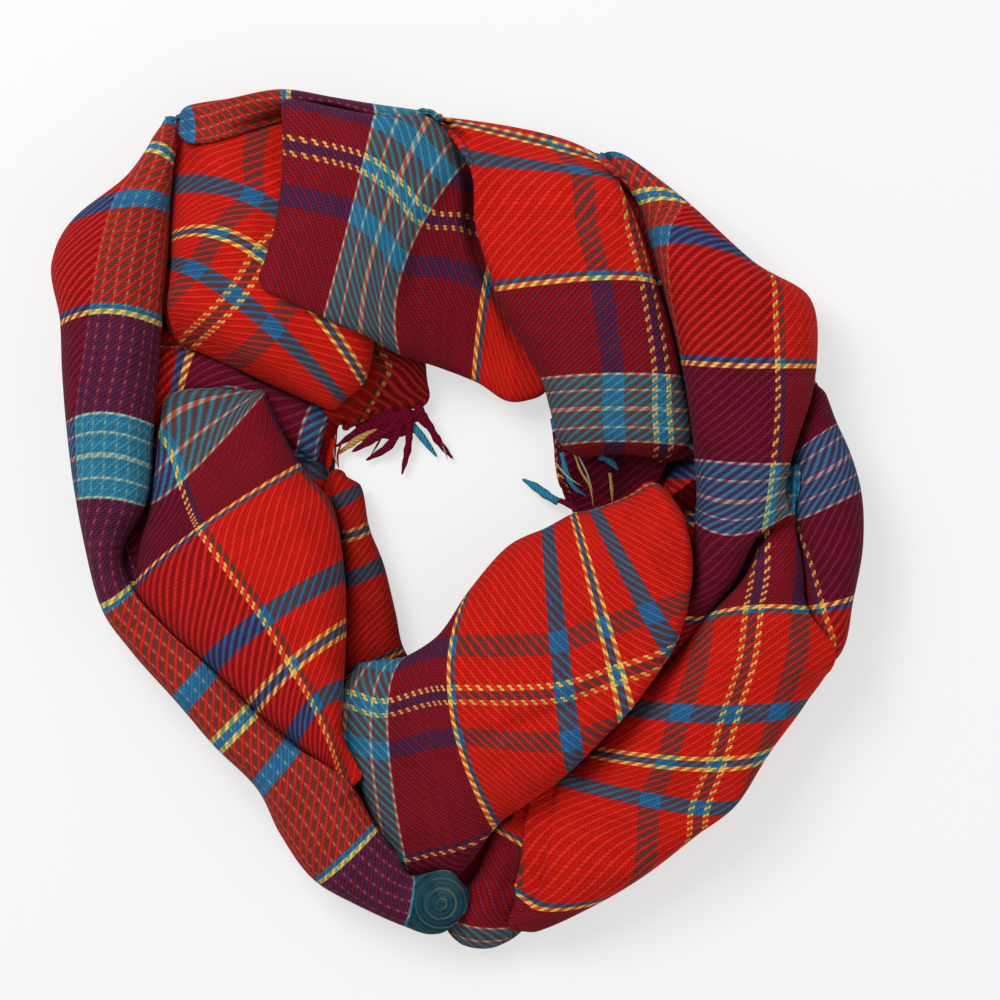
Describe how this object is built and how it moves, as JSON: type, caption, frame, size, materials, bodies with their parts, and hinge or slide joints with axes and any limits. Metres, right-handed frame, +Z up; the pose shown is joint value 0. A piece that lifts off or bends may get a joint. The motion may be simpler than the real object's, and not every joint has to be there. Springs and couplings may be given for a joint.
{
  "type": "plaid scarf laid in a loose wreath",
  "caption": "Red and maroon plaid twill scarf with two fringed ends, twisted and laid flat as a loose wreath around an open middle.",
  "frame": {"origin": "bottom centre of the laid scarf's bounding box, on the surface it lies on", "axes": "+Z up from the surface, +Y away from the viewer towards the top edge, +X to the viewer's right as seen from above"},
  "size_m": [0.4028, 0.4275, 0.064],
  "materials": {
    "plaid_twill": "brushed 2/2 twill plaid in red, maroon, teal, blue and yellow, matt with a light nap",
    "fringe_yarn": "twisted warp ends in maroon, teal and tan, matt and slightly hairy"
  },
  "bodies": {
    "root": {"left_roll": "plaid_twill", "inner_left": "plaid_twill", "upper_left": "plaid_twill", "top_edge": "plaid_twill", "top_flap": "plaid_twill", "top_right": "plaid_twill", "right_roll": "plaid_twill", "right_broad": "plaid_twill", "right_edge": "plaid_twill", "bottom_flap": "plaid_twill", "inner_strip": "plaid_twill", "bottom_tuck": "plaid_twill", "middle_ply": "plaid_twill", "end_one": "plaid_twill", "end_two": "plaid_twill", "fringe_one": "fringe_yarn", "fringe_two": "fringe_yarn", "heap_core": "plaid_twill"}
  },
  "joints": []
}
